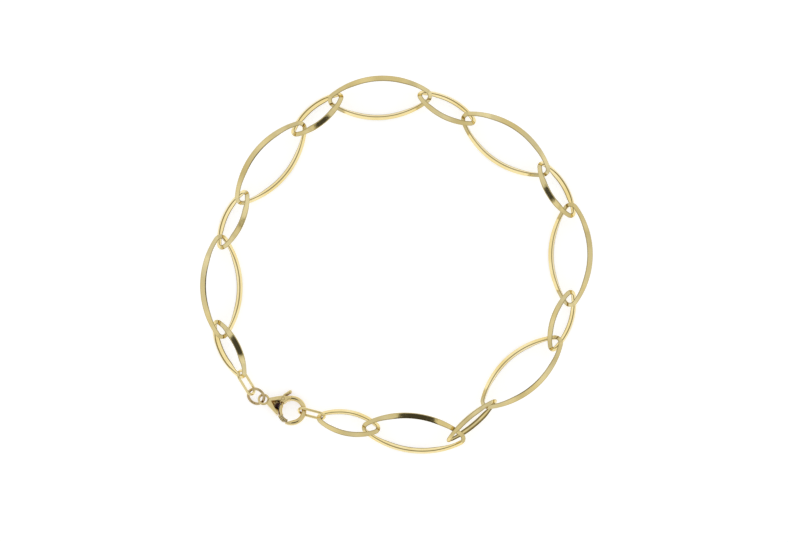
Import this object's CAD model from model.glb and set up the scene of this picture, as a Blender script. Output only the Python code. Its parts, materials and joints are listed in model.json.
"""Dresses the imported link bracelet: fine gold links, connectors, jump ring and clasp, on a pale table."""

import json
import logging
import math
from collections.abc import Callable
from dataclasses import dataclass, replace
from enum import Enum

import bmesh
import bpy
import numpy as np
from mathutils import Matrix, Vector

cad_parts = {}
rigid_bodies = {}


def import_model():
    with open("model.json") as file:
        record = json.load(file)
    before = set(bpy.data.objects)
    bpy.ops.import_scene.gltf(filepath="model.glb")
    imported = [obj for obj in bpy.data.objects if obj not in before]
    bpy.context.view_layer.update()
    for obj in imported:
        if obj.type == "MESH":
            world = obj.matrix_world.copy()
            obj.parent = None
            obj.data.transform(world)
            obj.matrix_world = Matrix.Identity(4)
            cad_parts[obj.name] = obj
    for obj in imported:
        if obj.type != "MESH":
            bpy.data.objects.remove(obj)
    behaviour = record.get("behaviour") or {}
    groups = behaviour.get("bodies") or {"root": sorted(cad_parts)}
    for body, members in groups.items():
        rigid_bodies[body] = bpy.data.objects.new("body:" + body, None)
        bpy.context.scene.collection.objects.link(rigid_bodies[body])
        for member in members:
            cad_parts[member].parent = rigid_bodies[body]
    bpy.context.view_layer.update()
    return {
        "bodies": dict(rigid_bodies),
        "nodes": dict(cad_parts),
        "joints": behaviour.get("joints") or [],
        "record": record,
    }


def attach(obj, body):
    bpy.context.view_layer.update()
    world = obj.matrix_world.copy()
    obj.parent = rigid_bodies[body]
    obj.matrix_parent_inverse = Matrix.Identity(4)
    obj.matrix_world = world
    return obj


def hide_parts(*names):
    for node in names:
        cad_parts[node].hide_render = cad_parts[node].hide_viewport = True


# Metres in a millimetre.
MM = 0.001
# Distance in millimetres under which the vertices of a finished piece become one.
WELD = 0.001
# Profile with which a bevel is a circular arc.
ROUND = 0.5
# Facets of the round shells that are cast into the clasp.
FACETS = 24
WHITE = (1.0, 1.0, 1.0, 1.0)
# Vertex attribute that says how dull or dirty a place is, from 0 to 1.
EDGE = "edge"
LOG = logging.getLogger("bracelet")
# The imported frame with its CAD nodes, which main() loads.
FRAME: dict = {}


class Body(Enum):
    """Bodies that the pieces move with."""

    CHAIN = "chain"
    LEVER = "lever"


def noise(tree: bpy.types.NodeTree, place: bpy.types.NodeSocket, scale: float, detail: float) -> bpy.types.NodeSocket:
    """Adds a noise texture and returns its value."""
    texture = tree.nodes.new("ShaderNodeTexNoise")
    texture.inputs["Scale"].default_value = scale
    texture.inputs["Detail"].default_value = detail
    tree.links.new(place, texture.inputs["Vector"])
    return texture.outputs["Fac"]


def spread(
    tree: bpy.types.NodeTree, value: bpy.types.NodeSocket, before: tuple[float, float], after: tuple[float, float]
) -> bpy.types.NodeSocket:
    """Maps a value from one range to another and returns it."""
    ranges = tree.nodes.new("ShaderNodeMapRange")
    for socket, number in zip(("From Min", "From Max", "To Min", "To Max"), (*before, *after)):
        ranges.inputs[socket].default_value = number
    tree.links.new(value, ranges.inputs["Value"])
    return ranges.outputs["Result"]


def mix(
    tree: bpy.types.NodeTree,
    share: bpy.types.NodeSocket,
    first: bpy.types.NodeSocket | tuple[float, float, float],
    second: tuple[float, float, float],
) -> bpy.types.NodeSocket:
    """Turns a colour into a second one.

    Args:
        tree: Nodes of the material.
        share: How much of the second colour shows.
        first: The colour that it covers, or where that comes from.
        second: The second colour.

    Returns:
        The mixed colour.
    """
    node = tree.nodes.new("ShaderNodeMix")
    node.data_type = "RGBA"
    if isinstance(first, tuple):
        node.inputs["A"].default_value = (*first, 1.0)
    else:
        tree.links.new(first, node.inputs["A"])
    node.inputs["B"].default_value = (*second, 1.0)
    tree.links.new(share, node.inputs["Factor"])
    return node.outputs["Result"]


def bump(tree: bpy.types.NodeTree, height: bpy.types.NodeSocket, depth: float) -> bpy.types.Node:
    """Adds a bump of the given depth in metres and returns its node."""
    node = tree.nodes.new("ShaderNodeBump")
    node.inputs["Distance"].default_value = depth
    tree.links.new(height, node.inputs["Height"])
    return node


@dataclass(frozen=True)
class Gold:
    """Polished yellow gold with a slightly uneven surface, darker where pieces lie close together.

    Args:
        name: Name of the material.
        tone: Linear colour of the clean metal.
        warm: Linear colour of the slightly redder patches.
        crevice: Linear colour where little light gets in.
        worn: Linear colour of the places that a piece marks as dull or dirty.
        reach: Distance over which close metal darkens it, in metres.
        shade: Least and most openness between which the crevice colour gives way to the clean metal.
        samples: Rays with which that openness is found.
        roughness: Lowest and highest roughness.
        grain: Scale of the uneven patches, per metre.
        drift: Scale of the slow changes of tone, per metre.
        tone_span: Values of the noise between which the tone changes.
        rough_span: Values of the noise between which the roughness changes.
        wave: Depth of the slow waves that polishing leaves, in metres.
        dent: Depth of the fine polishing marks, in metres.
        fineness: How many times finer than the uneven patches those marks are.
    """

    name: str
    tone: tuple[float, float, float]
    warm: tuple[float, float, float]
    crevice: tuple[float, float, float] = (0.26, 0.14, 0.05)
    worn: tuple[float, float, float] = (0.27, 0.2, 0.06)
    reach: float = 0.0005
    shade: tuple[float, float] = (0.2, 0.68)
    samples: int = 8
    roughness: tuple[float, float] = (0.05, 0.12)
    grain: float = 900.0
    drift: float = 200.0
    tone_span: tuple[float, float] = (0.35, 0.65)
    rough_span: tuple[float, float] = (0.3, 0.7)
    wave: float = 0.000012
    dent: float = 0.000003
    fineness: float = 6.0

    def material(self) -> bpy.types.Material:
        """Builds the node material.

        Returns:
            The finished material.
        """
        material = bpy.data.materials.new(self.name)
        material.use_nodes = True
        tree = material.node_tree
        nodes, links = tree.nodes, tree.links
        shader = nodes["Principled BSDF"]
        shader.inputs["Metallic"].default_value = 1.0
        place = nodes.new("ShaderNodeTexCoord").outputs["Object"]

        warmth = spread(tree, noise(tree, place, self.drift, detail=2.0), self.tone_span, (0.0, 1.0))
        colour = mix(tree, warmth, self.tone, self.warm)
        open_sky = nodes.new("ShaderNodeAmbientOcclusion")
        open_sky.samples = self.samples
        open_sky.inputs["Distance"].default_value = self.reach
        depth = spread(tree, open_sky.outputs["AO"], self.shade, (1.0, 0.0))
        colour = mix(tree, depth, colour, self.crevice)
        marked = nodes.new("ShaderNodeAttribute")
        marked.attribute_name = EDGE
        colour = mix(tree, marked.outputs["Fac"], colour, self.worn)
        links.new(colour, shader.inputs["Base Color"])

        patches = noise(tree, place, self.grain, detail=3.0)
        links.new(spread(tree, patches, self.rough_span, self.roughness), shader.inputs["Roughness"])
        slow = bump(tree, noise(tree, place, self.grain, detail=1.0), self.wave)
        fine = bump(tree, noise(tree, place, self.fineness * self.grain, detail=4.0), self.dent)
        links.new(slow.outputs["Normal"], fine.inputs["Normal"])
        links.new(fine.outputs["Normal"], shader.inputs["Normal"])
        return material


def seat(name: str) -> Matrix:
    """Finds how a symmetric CAD piece lies, from its surface.

    Args:
        name: Name of the CAD node.

    Returns:
        Matrix, in metres, whose x axis runs along the piece's length, y across it and z up out of its plane.
    """
    mesh = FRAME["nodes"][name].data
    count = len(mesh.polygons)
    areas, centres = np.zeros(count), np.zeros(count * 3)
    mesh.polygons.foreach_get("area", areas)
    mesh.polygons.foreach_get("center", centres)
    centres = centres.reshape(-1, 3)
    middle = areas @ centres / areas.sum()
    scatter = (centres - middle).T @ ((centres - middle) * areas[:, None])
    axes = np.linalg.eigh(scatter)[1][:, ::-1]
    along, up = Vector(axes[:, 0]), Vector(axes[:, 2])
    if up.z < 0:
        up.negate()
    turn = Matrix((along, up.cross(along), up)).transposed()
    return Matrix.Translation(middle) @ turn.to_4x4()


def placed(bm: bmesh.types.BMesh, name: str) -> bpy.types.Object:
    """Makes an object of a mesh, which is freed, and puts it into the scene."""
    mesh = bpy.data.meshes.new(name)
    bm.to_mesh(mesh)
    bm.free()
    thing = bpy.data.objects.new(name, mesh)
    bpy.context.scene.collection.objects.link(thing)
    return thing


def join(bm: bmesh.types.BMesh, added: bmesh.types.BMesh) -> None:
    """Adds the shells of a second mesh, which is freed, to a first."""
    mesh = bpy.data.meshes.new("added")
    added.to_mesh(mesh)
    added.free()
    bm.from_mesh(mesh)
    bpy.data.meshes.remove(mesh)


def finished(bm: bmesh.types.BMesh, name: str, place: Matrix, metal: bpy.types.Material) -> bpy.types.Object:
    """Turns a piece drawn in millimetres into an object in the frame.

    Args:
        bm: The piece in its own frame, in millimetres. It is freed.
        name: Name of the object.
        place: Where the piece lies, in metres.
        metal: Its material.

    Returns:
        The object, shaded smooth.
    """
    bmesh.ops.remove_doubles(bm, verts=bm.verts, dist=WELD)
    bmesh.ops.scale(bm, vec=(MM, MM, MM), verts=bm.verts)
    bmesh.ops.transform(bm, matrix=place, verts=bm.verts)
    bmesh.ops.recalc_face_normals(bm, faces=bm.faces)
    for face in bm.faces:
        face.smooth = True
    piece = placed(bm, name)
    piece.data.materials.append(metal)
    return piece


def report(piece: bpy.types.Object) -> None:
    """Reports a piece that is ready."""
    LOG.info("%s: %d faces", piece.name, len(piece.data.polygons))


def show(piece: bpy.types.Object, body: Body, node: str) -> None:
    """Puts a piece in the place of a CAD node and reports it."""
    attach(piece, body.value)
    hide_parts(node)
    report(piece)


def smooth_step(start: float, end: float, value: float) -> float:
    """Returns how far a value has gone from start to end, from 0 to 1, slow at both."""
    share = min(max((value - start) / (end - start), 0.0), 1.0)
    return share * share * (3 - 2 * share)


def spun(
    bm: bmesh.types.BMesh, edges: list[bmesh.types.BMEdge], centre: Vector, angle: float, steps: int
) -> list[bmesh.types.BMEdge]:
    """Sweeps edges round an upright axis and returns them where they end."""
    swept = bmesh.ops.spin(bm, geom=edges, cent=centre, axis=(0, 0, 1), angle=angle, steps=steps)
    return [part for part in swept["geom_last"] if isinstance(part, bmesh.types.BMEdge)]


@dataclass(frozen=True)
class Link:
    """Open pointed link of knife-edged wire, which is fullest in the middle of its sides.

    Args:
        length: Length over the tips, in millimetres.
        width: Width across the middle.
        tip: Outer radius of the tips.
        wire: Width and height of the wire at the tips.
        full_width: Width of the wire in the middle of a side.
        slope: Angle of the outer faces to the link's plane there, in degrees.
        ridge: Height of the blunt outer ridge.
        rounding: Radius of the wire's inner corners and of those along its ridge.
        line: Dull line at the inner corners: where it has faded on the outer face, and where it is full and has faded
            on the inner wall.
        rim: Width and dullness of the ridge's line.
        swell: Shares of the distance to the tips at which the wire is fullest, and back to its least.
        steps: Steps of the sweep along a side, round a tip and round a corner of the wire.
    """

    length: float
    width: float
    tip: float
    wire: tuple[float, float] = (0.72, 0.73)
    full_width: float = 0.81
    slope: float = 35.0
    ridge: float = 0.1
    rounding: tuple[float, float] = (0.06, 0.035)
    line: tuple[float, float, float] = (0.19, 0.12, 0.19)
    rim: tuple[float, float] = (0.05, 0.5)
    swell: tuple[float, float] = (0.5, 0.95)
    steps: tuple[int, int, int] = (64, 24, 4)

    def section(self) -> list[tuple[float, float, float]]:
        """Draws the wire's section at a tip.

        Returns:
            Its corners and the ends of its dull lines, from one end of the inner wall to the other, each as its
            distance out from the tip's outer radius, its height and its dullness.
        """
        width, high, low = self.wire[0], self.wire[1] / 2, self.ridge / 2
        marks = ((-width, 1.0), (self.line[0] - width, 0.0), (-self.rim[0], 0.0), (0.0, self.rim[1]))
        face = [(x, low - x * (high - low) / width, dull) for x, dull in marks]
        half = [(-width, high - self.line[2], 0.0), (-width, high - self.line[1], 1.0), *face]
        return half + [(x, -z, dull) for x, z, dull in reversed(half)]

    def arcs(self) -> tuple[float, float, float, float]:
        """Works out the arcs of the link's outer edge.

        Returns:
            How far the tips' centres lie from the middle, the radius of the sides, how far their centres lie from the
            middle, and how far a tip turns from the link's length before it gives way to a side.
        """
        tip_x, half_w = self.length / 2 - self.tip, self.width / 2
        bow = (tip_x**2 + half_w**2 - self.tip**2) / (2 * (half_w - self.tip))
        sink = bow - half_w
        return tip_x, bow, sink, math.pi / 2 - math.atan2(tip_x, sink)

    def start(self, bm: bmesh.types.BMesh) -> list[bmesh.types.BMEdge]:
        """Draws the section with rounded corners where a tip gives way to a side, and returns its edges."""
        tip_x, _, _, turn = self.arcs()
        outward = Vector((math.cos(turn), math.sin(turn), 0))
        dullness = bm.verts.layers.float.new(EDGE)
        points = []
        for out, z, dull in self.section():
            points.append(bm.verts.new(Vector((tip_x, 0, z)) + (self.tip + out) * outward))
            points[-1][dullness] = dull
        bm.faces.new(points)
        # The section has its inner corners third from each end, and those of its ridge in the middle.
        inner, ridge = [points[2], points[-3]], points[5:7]
        for radius, corners in zip(self.rounding, (inner, ridge)):
            bmesh.ops.bevel(
                bm,
                geom=corners,
                offset=radius,
                offset_type="OFFSET",
                segments=self.steps[2],
                profile=ROUND,
                affect="VERTICES",
            )
        edges = list(bm.edges)
        for face in list(bm.faces):
            bm.faces.remove(face)
        return edges

    def swell_sides(self, bm: bmesh.types.BMesh) -> None:
        """Makes the wire wider and taller towards the middle of the sides, and leaves its outer edge in place."""
        tip_x, bow, sink, turn = self.arcs()
        wider = self.full_width / self.wire[0]
        taller = self.full_width * math.tan(math.radians(self.slope)) / ((self.wire[1] - self.ridge) / 2)
        for vert in bm.verts:
            x, y, _ = vert.co
            at_tip = math.atan2(abs(y), abs(x) - tip_x) < turn
            centre = Vector((math.copysign(tip_x, x), 0, 0) if at_tip else (0, -math.copysign(sink, y), 0))
            spoke = Vector((x, y, 0)) - centre
            inward = (self.tip if at_tip else bow) - spoke.length
            share = 1 - smooth_step(self.swell[0] * tip_x, self.swell[1] * tip_x, abs(x))
            vert.co -= inward * share * (wider - 1) * spoke.normalized()
            vert.co.z *= 1 + share * (taller - 1)

    def build(self, name: str, place: Matrix, metal: bpy.types.Material) -> bpy.types.Object:
        """Sweeps the section round the link and swells its sides.

        Args:
            name: Name of the object.
            place: Where the link lies.
            metal: Its material.

        Returns:
            The link, whose large faces set its shading.
        """
        tip_x, _, sink, turn = self.arcs()
        bm = bmesh.new()
        edges = self.start(bm)
        for x, y, angle, steps in (
            (0, -sink, math.pi - 2 * turn, self.steps[0]),
            (-tip_x, 0, 2 * turn, self.steps[1]),
            (0, sink, math.pi - 2 * turn, self.steps[0]),
            (tip_x, 0, 2 * turn, self.steps[1]),
        ):
            edges = spun(bm, edges, Vector((x, y, 0)), angle, steps)
        self.swell_sides(bm)
        piece = finished(bm, name, place, metal)
        piece.modifiers.new("Even faces", "WEIGHTED_NORMAL").keep_sharp = True
        return piece


@dataclass(frozen=True)
class Connector:
    """Small straight-sided link of round wire.

    Args:
        length: Length over its ends, in millimetres.
        width: Width over its sides.
        wire: Diameter of the wire.
        facets: Facets round the wire and steps round an end.
    """

    length: float = 5.1
    width: float = 2.3
    wire: float = 0.5
    facets: tuple[int, int] = (20, 24)

    def build(self, name: str, place: Matrix, metal: bpy.types.Material) -> bpy.types.Object:
        """Bends the wire round two ends with straight sides between them.

        Args:
            name: Name of the object.
            place: Where the connector lies.
            metal: Its material.

        Returns:
            The connector.
        """
        side, half = (self.width - self.wire) / 2, (self.length - self.width) / 2
        bm = bmesh.new()
        stand = Matrix.Translation((half, -side, 0)) @ Matrix.Rotation(math.pi / 2, 4, "Y")
        bmesh.ops.create_circle(bm, segments=self.facets[0], radius=self.wire / 2, matrix=stand)
        edges = list(bm.edges)
        for x in (half, -half):
            edges = spun(bm, edges, Vector((x, 0, 0)), math.pi, self.facets[1])
            straight = bmesh.ops.extrude_edge_only(bm, edges=edges)["geom"]
            ends = [part for part in straight if isinstance(part, bmesh.types.BMVert)]
            bmesh.ops.translate(bm, vec=(-2 * x, 0, 0), verts=ends)
            edges = [part for part in straight if isinstance(part, bmesh.types.BMEdge) and set(part.verts) <= set(ends)]
        return finished(bm, name, place, metal)


@dataclass(frozen=True)
class JumpRing:
    """Ring of round wire, sawn through and closed end to end.

    Args:
        diameter: Outer diameter, in millimetres.
        wire: Diameter of the wire.
        cut: Width of the saw cut.
        rounding: Radius of the wire's ends at the cut.
        cut_side: Side of the ring on which the cut lies, in the frame.
        facets: Facets round the wire, steps round the ring, and facets of the rounding.
    """

    diameter: float = 3.4
    wire: float = 0.5
    cut: float = 0.04
    rounding: float = 0.04
    cut_side: tuple[float, float, float] = (-0.3, -1.0, 0.0)
    facets: tuple[int, int, int] = (24, 96, 3)

    def build(self, name: str, place: Matrix, metal: bpy.types.Material) -> bpy.types.Object:
        """Bends the wire and closes its ends.

        Args:
            name: Name of the object.
            place: Where the ring lies. Its x axis is turned to the cut.
            metal: Its material.

        Returns:
            The ring.
        """
        radius = (self.diameter - self.wire) / 2
        up = place.col[2].to_3d().normalized()
        side = Vector(self.cut_side).cross(up).cross(up).normalized() * -1
        turned = Matrix((side, up.cross(side), up)).transposed().to_4x4()
        gap = self.cut / radius
        bm = bmesh.new()
        stand = (
            Matrix.Rotation(gap / 2, 4, "Z") @ Matrix.Translation((radius, 0, 0)) @ Matrix.Rotation(math.pi / 2, 4, "X")
        )
        bmesh.ops.create_circle(bm, cap_ends=True, segments=self.facets[0], radius=self.wire / 2, matrix=stand)
        start = list(bm.faces)
        swept = bmesh.ops.spin(
            bm,
            geom=start + list(bm.edges),
            cent=(0, 0, 0),
            axis=(0, 0, 1),
            angle=2 * math.pi - gap,
            steps=self.facets[1],
        )
        ends = start + [part for part in swept["geom_last"] if isinstance(part, bmesh.types.BMFace)]
        rims = list({edge for face in ends for edge in face.edges})
        bmesh.ops.bevel(bm, geom=rims, offset=self.rounding, segments=self.facets[2], profile=ROUND, affect="EDGES")
        return finished(bm, name, Matrix.Translation(place.translation) @ turned, metal)


@dataclass(frozen=True)
class Casting:
    """A CAD piece with the soft edges and fillets of a cast and polished one.

    Args:
        weld: Distance under which the CAD mesh's vertices become one, in millimetres.
        grain: Size of the cells in which it is cast anew.
        polish: Rounds of smoothing.
        softness: How far each round moves a vertex towards its neighbours' middle, from 0 to 1.
    """

    weld: float = 0.0005
    grain: float = 0.045
    polish: int = 14
    softness: float = 0.5

    def cast(
        self,
        node: str,
        metal: bpy.types.Material,
        added: bmesh.types.BMesh,
        cut: bmesh.types.BMesh | None = None,
    ) -> bpy.types.Object:
        """Casts a CAD node anew.

        Args:
            node: Name of the CAD node.
            metal: Its material.
            added: Shells in millimetres that are fused with the piece. They are freed.
            cut: Shells in millimetres that are cut from it. They are freed.

        Returns:
            The piece.
        """
        whole = bmesh.new()
        whole.from_mesh(FRAME["nodes"][node].data)
        bmesh.ops.scale(whole, vec=(1 / MM, 1 / MM, 1 / MM), verts=whole.verts)
        bmesh.ops.remove_doubles(whole, verts=whole.verts, dist=self.weld)
        join(whole, added)
        rough = placed(whole, "rough")
        tools = [rough]
        if cut:
            tools.append(placed(cut, "cut"))
            hollow = rough.modifiers.new("Hollow", "BOOLEAN")
            hollow.operation, hollow.solver, hollow.object = "DIFFERENCE", "EXACT", tools[1]
        cells = rough.modifiers.new("Cells", "REMESH")
        cells.mode, cells.voxel_size, cells.use_smooth_shade = "VOXEL", self.grain, True
        soft = rough.modifiers.new("Polish", "SMOOTH")
        soft.factor, soft.iterations = self.softness, self.polish
        ready = bpy.data.meshes.new_from_object(rough.evaluated_get(bpy.context.evaluated_depsgraph_get()))
        bm = bmesh.new()
        bm.from_mesh(ready)
        bpy.data.meshes.remove(ready)
        for tool in tools:
            # This removes the object as well.
            bpy.data.meshes.remove(tool.data)
        return finished(bm, node + "_gold", Matrix(), metal)


@dataclass(frozen=True)
class Crown:
    """Dome along a part of the hook's ring, in the clasp's own frame.

    Args:
        turn: Angles at which it starts and ends, in degrees.
        radius: Radius of its middle line, in millimetres.
        half_width: Half of its width.
        half_height: Half of its height.
        steps: Steps of its sweep.
    """

    turn: tuple[float, float]
    radius: float
    half_width: float
    half_height: float
    steps: int = 60

    def shell(self, place: Matrix) -> bmesh.types.BMesh:
        """Sweeps an oval along the ring.

        Args:
            place: The clasp's frame.

        Returns:
            The dome as a closed shell, in millimetres.
        """
        stand = (
            Matrix.Rotation(math.radians(self.turn[0]), 4, "Z")
            @ Matrix.Translation((self.radius, 0, 0))
            @ Matrix.Rotation(math.pi / 2, 4, "X")
            @ Matrix.Diagonal((self.half_width, self.half_height, 1, 1))
        )
        bm = bmesh.new()
        bmesh.ops.create_circle(bm, cap_ends=True, segments=FACETS, radius=1.0, matrix=stand)
        bmesh.ops.spin(
            bm,
            geom=[*bm.verts, *bm.edges, *bm.faces],
            cent=(0, 0, 0),
            axis=(0, 0, 1),
            angle=math.radians(self.turn[1] - self.turn[0]),
            steps=self.steps,
        )
        bmesh.ops.transform(bm, matrix=place, verts=bm.verts)
        return bm


@dataclass(frozen=True)
class Clasp:
    """Trigger clasp: cast body with a hollow in each face, lever with its thumb tab, and rivet.

    Its own frame has the origin in the hook's centre and the x axis towards the tail eye, in millimetres.

    Args:
        pivot: Place of the rivet.
        eye: Place of the tail eye.
        eye_hole: Radius of the hole in the tail eye.
        eye_rim: Outer radius of the tail eye.
        hook_out: Outer radius of the hook.
        hollow_top: Corners of the hollow at the body's face.
        hollow_floor: Corners of its floor.
        heights: Heights over the clasp's plane of the hollow's upper end and of its floor.
        grime: Middle of the dark film in the hollow.
        grime_r: Distances from there at which the film starts to fade and has ended.
        film: Heights at which the film ends and is fullest.
        gate_film: Angles over which the gate turns dull, and the angle from one dull facet to the next.
        gate_dull: Dullness of the gate, and how far its facets differ from that.
        stem: Ends of the thumb tab's stem, from the rivet.
        stem_r: Radii of the stem at those ends.
        hook_crown: Dome along the hook.
        gate_crown: Dome along the lever's gate.
        arm_crown: Dome along the lever's arm.
        head_round: Radius of the rivet's edges, and its facets.
    """

    pivot: tuple[float, float] = (2.1, -1.262)
    eye: tuple[float, float] = (5.25, 0.0)
    eye_hole: float = 0.625
    eye_rim: float = 1.025
    hook_out: float = 2.6
    hollow_top: tuple[tuple[float, float], ...] = ((4.4, -0.2), (2.1, -0.95), (1.9, 1.5))
    hollow_floor: tuple[tuple[float, float], ...] = ((3.6, -0.15), (2.7, -0.4), (2.2, 0.6))
    heights: tuple[float, float] = (0.8, 0.1)
    grime: tuple[float, float] = (2.4, 0.15)
    grime_r: tuple[float, float] = (0.45, 1.0)
    film: tuple[float, float] = (0.65, 0.3)
    gate_film: tuple[float, float, float] = (46.0, 51.0, 8.0)
    gate_dull: tuple[float, float] = (0.45, 0.25)
    stem: tuple[tuple[float, float], tuple[float, float]] = ((0.06, -0.75), (-0.66, -1.76))
    stem_r: tuple[float, float] = (0.3, 0.34)
    hook_crown: Crown = Crown((112.0, 336.0), 2.175, 0.42, 0.54)
    gate_crown: Crown = Crown((47.0, 74.0), 2.15, 0.38, 0.56)
    arm_crown: Crown = Crown((-6.0, 52.0), 1.94, 0.35, 0.44)
    head_round: tuple[float, int] = (0.04, 3)

    def frame(self) -> Matrix:
        """Finds how the clasp lies, from its rivet and the vertices of its body.

        Returns:
            Matrix, in millimetres, from the clasp's own frame.
        """
        rivet = seat("clasp_rivet")
        pivot, up = rivet.translation / MM, rivet.col[0].to_3d().normalized()
        if up.z < 0:
            up.negate()
        points = [vert.co / MM - pivot for vert in FRAME["nodes"]["clasp_body"].data.vertices]
        flat = [point - point.dot(up) * up for point in points]
        # The point farthest from the rivet lies on the hook, and the one farthest from the hook's middle on the eye.
        opposite = max(flat, key=lambda point: point.length)
        middle = opposite * (1 - self.hook_out / opposite.length)
        tail = max(flat, key=lambda point: (point - middle).length) - middle
        guess = middle + tail * (1 - self.eye_rim / tail.length)
        hole = [point for point in flat if (point - guess).length < (self.eye_hole + self.eye_rim) / 2]
        to_eye = sum(hole, Vector()) / len(hole)
        drawn = Vector((self.eye[0] - self.pivot[0], self.eye[1] - self.pivot[1]))
        along = Matrix.Rotation(-math.atan2(drawn.y, drawn.x), 3, up) @ to_eye.normalized()
        turn = Matrix((along, up.cross(along), up)).transposed()
        return Matrix.Translation(pivot) @ turn.to_4x4() @ Matrix.Translation((-self.pivot[0], -self.pivot[1], 0))

    def hollows(self, place: Matrix) -> bmesh.types.BMesh:
        """Builds what is cut from both faces of the body.

        Args:
            place: The clasp's frame.

        Returns:
            Two shells in millimetres.
        """
        bm = bmesh.new()
        for side in (1, -1):
            top, floor = (
                [bm.verts.new((x, y, side * height)) for x, y in corners]
                for corners, height in zip((self.hollow_top, self.hollow_floor), self.heights)
            )
            bm.faces.new(top)
            bm.faces.new(floor)
            for i in range(len(top)):
                bm.faces.new((floor[i - 1], floor[i], top[i], top[i - 1]))
        bmesh.ops.transform(bm, matrix=place, verts=bm.verts)
        bmesh.ops.recalc_face_normals(bm, faces=bm.faces)
        return bm

    def lever_shells(self, place: Matrix) -> bmesh.types.BMesh:
        """Builds the round stem of the thumb tab and the domes of the arm and the gate.

        Args:
            place: The clasp's frame.

        Returns:
            Three shells in millimetres.
        """
        low, high = (Vector((self.pivot[0] + x, self.pivot[1] + y, 0)) for x, y in self.stem)
        turn = (high - low).to_track_quat("Z", "Y").to_matrix().to_4x4()
        bm = bmesh.new()
        bmesh.ops.create_cone(
            bm,
            cap_ends=True,
            segments=FACETS,
            radius1=self.stem_r[0],
            radius2=self.stem_r[1],
            depth=(high - low).length,
            matrix=place @ Matrix.Translation((low + high) / 2) @ turn,
        )
        join(bm, self.gate_crown.shell(place))
        join(bm, self.arm_crown.shell(place))
        return bm

    def body_film(self, spot: Vector) -> float:
        """Returns how dark the film is at a point of the body: polish never reaches the bottom of its hollows."""
        near = 1 - smooth_step(*self.grime_r, (spot.xy - Vector(self.grime)).length)
        return near * smooth_step(*self.film, abs(spot.z))

    def lever_film(self, spot: Vector) -> float:
        """Returns how dull the lever is at a point: the facets of its gate are duller than the rest."""
        start, full, pitch = self.gate_film
        angle = math.degrees(math.atan2(spot.y, spot.x))
        ripple = math.cos(math.tau * angle / pitch)
        return smooth_step(start, full, angle) * (self.gate_dull[0] + self.gate_dull[1] * ripple)

    @staticmethod
    def mark(piece: bpy.types.Object, place: Matrix, dullness: Callable[[Vector], float]) -> None:
        """Marks the dull and dirty places of a piece.

        Args:
            piece: The piece, in the frame.
            place: The clasp's frame.
            dullness: Gives the dullness at a point of the clasp's own frame.
        """
        back = place.inverted()
        film = piece.data.attributes.new(EDGE, "FLOAT", "POINT")
        for vert, mark in zip(piece.data.vertices, film.data):
            mark.value = dullness(back @ (vert.co / MM))

    def build(self, metal: bpy.types.Material) -> None:
        """Builds the body and the lever, and rounds the rivet's heads.

        Args:
            metal: Material of all three.
        """
        place = self.frame()
        casting = Casting()
        body = casting.cast("clasp_body", metal, added=self.hook_crown.shell(place), cut=self.hollows(place))
        self.mark(body, place, self.body_film)
        show(body, Body.CHAIN, "clasp_body")
        lever = casting.cast("clasp_lever", metal, added=self.lever_shells(place))
        self.mark(lever, place, self.lever_film)
        show(lever, Body.LEVER, "clasp_lever")
        rivet = FRAME["nodes"]["clasp_rivet"]
        heads = rivet.modifiers.new("Round heads", "BEVEL")
        heads.width, heads.segments, heads.limit_method = self.head_round[0] * MM, self.head_round[1], "ANGLE"
        rivet.data.materials.clear()
        rivet.data.materials.append(metal)
        report(rivet)


@dataclass(frozen=True)
class Chain:
    """All links, connectors and the jump ring.

    Args:
        large: Form of the large links.
        small: Form of the small links.
        connector: Form of the two connectors.
        ring: Form of the jump ring.
        slopes: Links whose outer faces were filed to another slope, in degrees.
        dull: Links whose inner wall has kept its dull skin.
        dull_line: The dull line of those links.
    """

    large: Link = Link(18.1, 8.0, 1.5)
    small: Link = Link(11.2, 5.3, 1.35)
    connector: Connector = Connector()
    ring: JumpRing = JumpRing()
    slopes: tuple[tuple[str, float], ...] = (
        ("large_link_4", 34.5),
        ("large_link_5", 33.0),
        ("large_link_6", 37.0),
        ("large_link_7", 36.5),
        ("small_link_1", 27.0),
        ("small_link_2", 34.5),
        ("small_link_3", 27.0),
        ("small_link_4", 30.0),
        ("small_link_5", 23.0),
        ("small_link_6", 37.0),
        ("small_link_7", 31.5),
        ("small_link_8", 34.2),
    )
    dull: tuple[str, ...] = ("small_link_4",)
    dull_line: tuple[float, float, float] = (0.25, 0.2, 0.3)

    def form(self, node: str) -> Link | Connector | JumpRing | None:
        """Returns the form of the piece that replaces a CAD node, or none if the node is part of the clasp."""
        if node == "jump_ring":
            return self.ring
        if node.startswith("connector"):
            return self.connector
        if "_link_" not in node:
            return None
        link = self.large if node.startswith("large") else self.small
        link = replace(link, slope=dict(self.slopes).get(node, link.slope))
        return replace(link, line=self.dull_line) if node in self.dull else link

    def build(self, metal: bpy.types.Material, ring_metal: bpy.types.Material) -> None:
        """Builds each piece where its CAD node lies.

        Args:
            metal: Material of the links and connectors.
            ring_metal: Material of the jump ring.
        """
        for node in sorted(FRAME["nodes"]):
            form = self.form(node)
            if form:
                piece = form.build(node + "_gold", seat(node), ring_metal if form is self.ring else metal)
                show(piece, Body.CHAIN, node)


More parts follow.
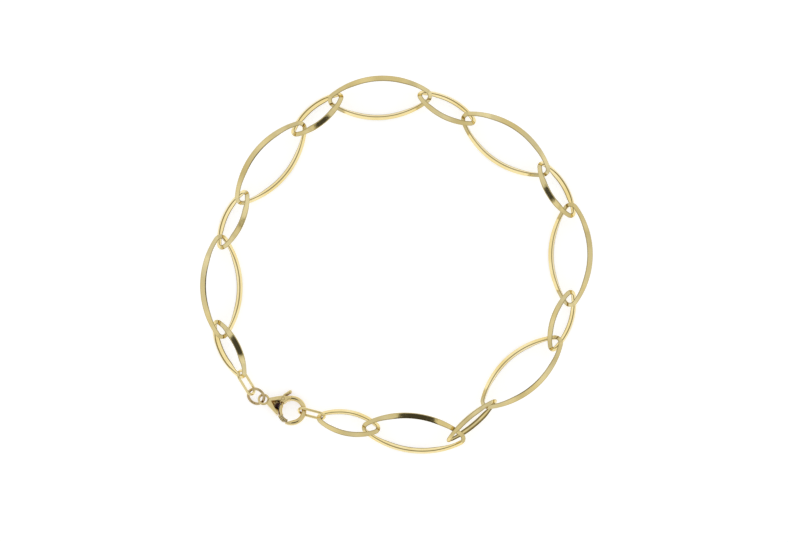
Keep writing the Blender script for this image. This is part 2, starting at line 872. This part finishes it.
@dataclass(frozen=True)
class Studio:
    """Camera, table and soft light of the photograph.

    Args:
        foot: Point on the table under the camera, in millimetres.
        height: Height of the camera over the table, in millimetres.
        scale: Pixels for a millimetre on the table.
        picture: Width of the picture in pixels.
        sensor: Width of the camera's sensor, in millimetres.
        clip: Nearest and farthest that the camera sees, in metres.
        table_size: Half of the table's width, in metres.
        table_drop: How far the table lies under the object, in millimetres.
        table_tone: Grey of the table.
        table_finish: Roughness and gloss of the table.
        table_glow: Light that the table gives of its own, so that it comes out white.
        sky: Brightness overhead and at the horizon.
        horizon: Heights at which the sky's brightness is that of the horizon, and that overhead.
        cloud: Scale of the sky's uneven patches, and their least and most brightness.
        cloud_span: Values of the noise between which that brightness changes.
        patch_height: Height of the dark patch overhead, in metres.
        patch: Radii between which that patch fades out, in metres.
        patch_facets: Corners of its rim.
        patch_tone: Brightness of its middle.
        patch_tint: Colour of its light.
    """

    foot: tuple[float, float] = (-0.459, -0.948)
    height: float = 300.0
    scale: float = 5.73
    picture: int = 788
    sensor: float = 36.0
    clip: tuple[float, float] = (0.01, 10.0)
    table_size: float = 1.5
    table_drop: float = 0.05
    table_tone: float = 0.55
    table_finish: tuple[float, float] = (0.7, 0.1)
    table_glow: float = 0.68
    sky: tuple[float, float] = (0.82, 0.72)
    horizon: tuple[float, float] = (0.05, 0.55)
    cloud: tuple[float, float, float] = (2.5, 0.82, 1.06)
    cloud_span: tuple[float, float] = (0.35, 0.65)
    patch_height: float = 1.2
    patch: tuple[float, float] = (0.33, 0.41)
    patch_facets: int = 64
    patch_tone: float = 0.06
    patch_tint: tuple[float, float, float] = (1.0, 0.98, 0.85)

    def camera(self) -> None:
        """Adds the camera, looking straight down."""
        data = bpy.data.cameras.new("camera")
        data.sensor_width = self.sensor
        data.lens = data.sensor_width * self.scale * self.height / self.picture
        data.clip_start, data.clip_end = self.clip
        camera = bpy.data.objects.new("camera", data)
        camera.location = (self.foot[0] * MM, self.foot[1] * MM, self.height * MM)
        bpy.context.scene.collection.objects.link(camera)
        bpy.context.scene.camera = camera

    @staticmethod
    def sheet(bm: bmesh.types.BMesh, name: str, height: float) -> bpy.types.Material:
        """Stages a flat sheet of the studio and returns its new material."""
        sheet = placed(bm, name)
        sheet.location.z = height
        material = bpy.data.materials.new(name)
        material.use_nodes = True
        sheet.data.materials.append(material)
        return material

    def table(self) -> None:
        """Adds the plain pale table."""
        bm = bmesh.new()
        bmesh.ops.create_grid(bm, x_segments=1, y_segments=1, size=self.table_size)
        shader = self.sheet(bm, "table", -self.table_drop * MM).node_tree.nodes["Principled BSDF"]
        for socket, value in (
            ("Base Color", (self.table_tone, self.table_tone, self.table_tone, 1.0)),
            ("Roughness", self.table_finish[0]),
            ("Specular IOR Level", self.table_finish[1]),
            ("Emission Color", WHITE),
            ("Emission Strength", self.table_glow),
        ):
            shader.inputs[socket].default_value = value

    def overhead(self) -> None:
        """Adds the dark patch overhead, where the camera stands, fading out towards its edge."""
        bm = bmesh.new()
        bmesh.ops.create_circle(bm, cap_ends=True, segments=self.patch_facets, radius=self.patch[1])
        tree = self.sheet(bm, "overhead", self.patch_height).node_tree
        tree.nodes.remove(tree.nodes["Principled BSDF"])
        place = tree.nodes.new("ShaderNodeTexCoord").outputs["Object"]
        radius = tree.nodes.new("ShaderNodeVectorMath")
        radius.operation = "LENGTH"
        tree.links.new(place, radius.inputs[0])
        tone = spread(tree, radius.outputs["Value"], self.patch, (self.patch_tone, self.sky[0]))
        glow = tree.nodes.new("ShaderNodeEmission")
        glow.inputs["Color"].default_value = (*self.patch_tint, 1.0)
        tree.links.new(tone, glow.inputs["Strength"])
        tree.links.new(glow.outputs["Emission"], tree.nodes["Material Output"].inputs["Surface"])

    def room(self) -> None:
        """Lights the table softly from all round, less near the horizon."""
        world = bpy.data.worlds.new("room")
        world.use_nodes = True
        tree = world.node_tree
        place = tree.nodes.new("ShaderNodeTexCoord").outputs["Generated"]
        height = tree.nodes.new("ShaderNodeSeparateXYZ")
        tree.links.new(place, height.inputs["Vector"])
        tone = spread(tree, height.outputs["Z"], self.horizon, (self.sky[1], self.sky[0]))
        patches = noise(tree, place, self.cloud[0], detail=1.0)
        uneven = tree.nodes.new("ShaderNodeMath")
        uneven.operation = "MULTIPLY"
        tree.links.new(tone, uneven.inputs[0])
        tree.links.new(spread(tree, patches, self.cloud_span, self.cloud[1:]), uneven.inputs[1])
        background = tree.nodes["Background"]
        tree.links.new(uneven.outputs["Value"], background.inputs["Strength"])
        background.inputs["Color"].default_value = WHITE
        bpy.context.scene.world = world

    def build(self) -> None:
        """Sets up the studio, and shows its light as it is, with no film look."""
        self.camera()
        self.table()
        self.overhead()
        self.room()
        bpy.context.scene.view_settings.view_transform = "Standard"


def main() -> None:
    """Builds the pieces in order."""
    logging.basicConfig(level=logging.INFO, format="%(message)s")
    FRAME.update(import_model())
    Studio().build()
    gold = Gold("Yellow gold", tone=(0.9, 0.77, 0.42), warm=(0.82, 0.66, 0.29))
    ring_gold = Gold("Ring gold", tone=(0.62, 0.5, 0.27), warm=(0.55, 0.4, 0.2))
    cast_gold = Gold(
        "Cast gold",
        tone=(0.85, 0.7, 0.36),
        warm=(0.78, 0.62, 0.28),
        crevice=(0.4, 0.23, 0.06),
        worn=(0.04, 0.017, 0.018),
        reach=0.0016,
        shade=(0.45, 0.88),
    )
    Chain().build(gold.material(), ring_gold.material())
    Clasp().build(cast_gold.material())


if __name__ == "__main__":
    main()
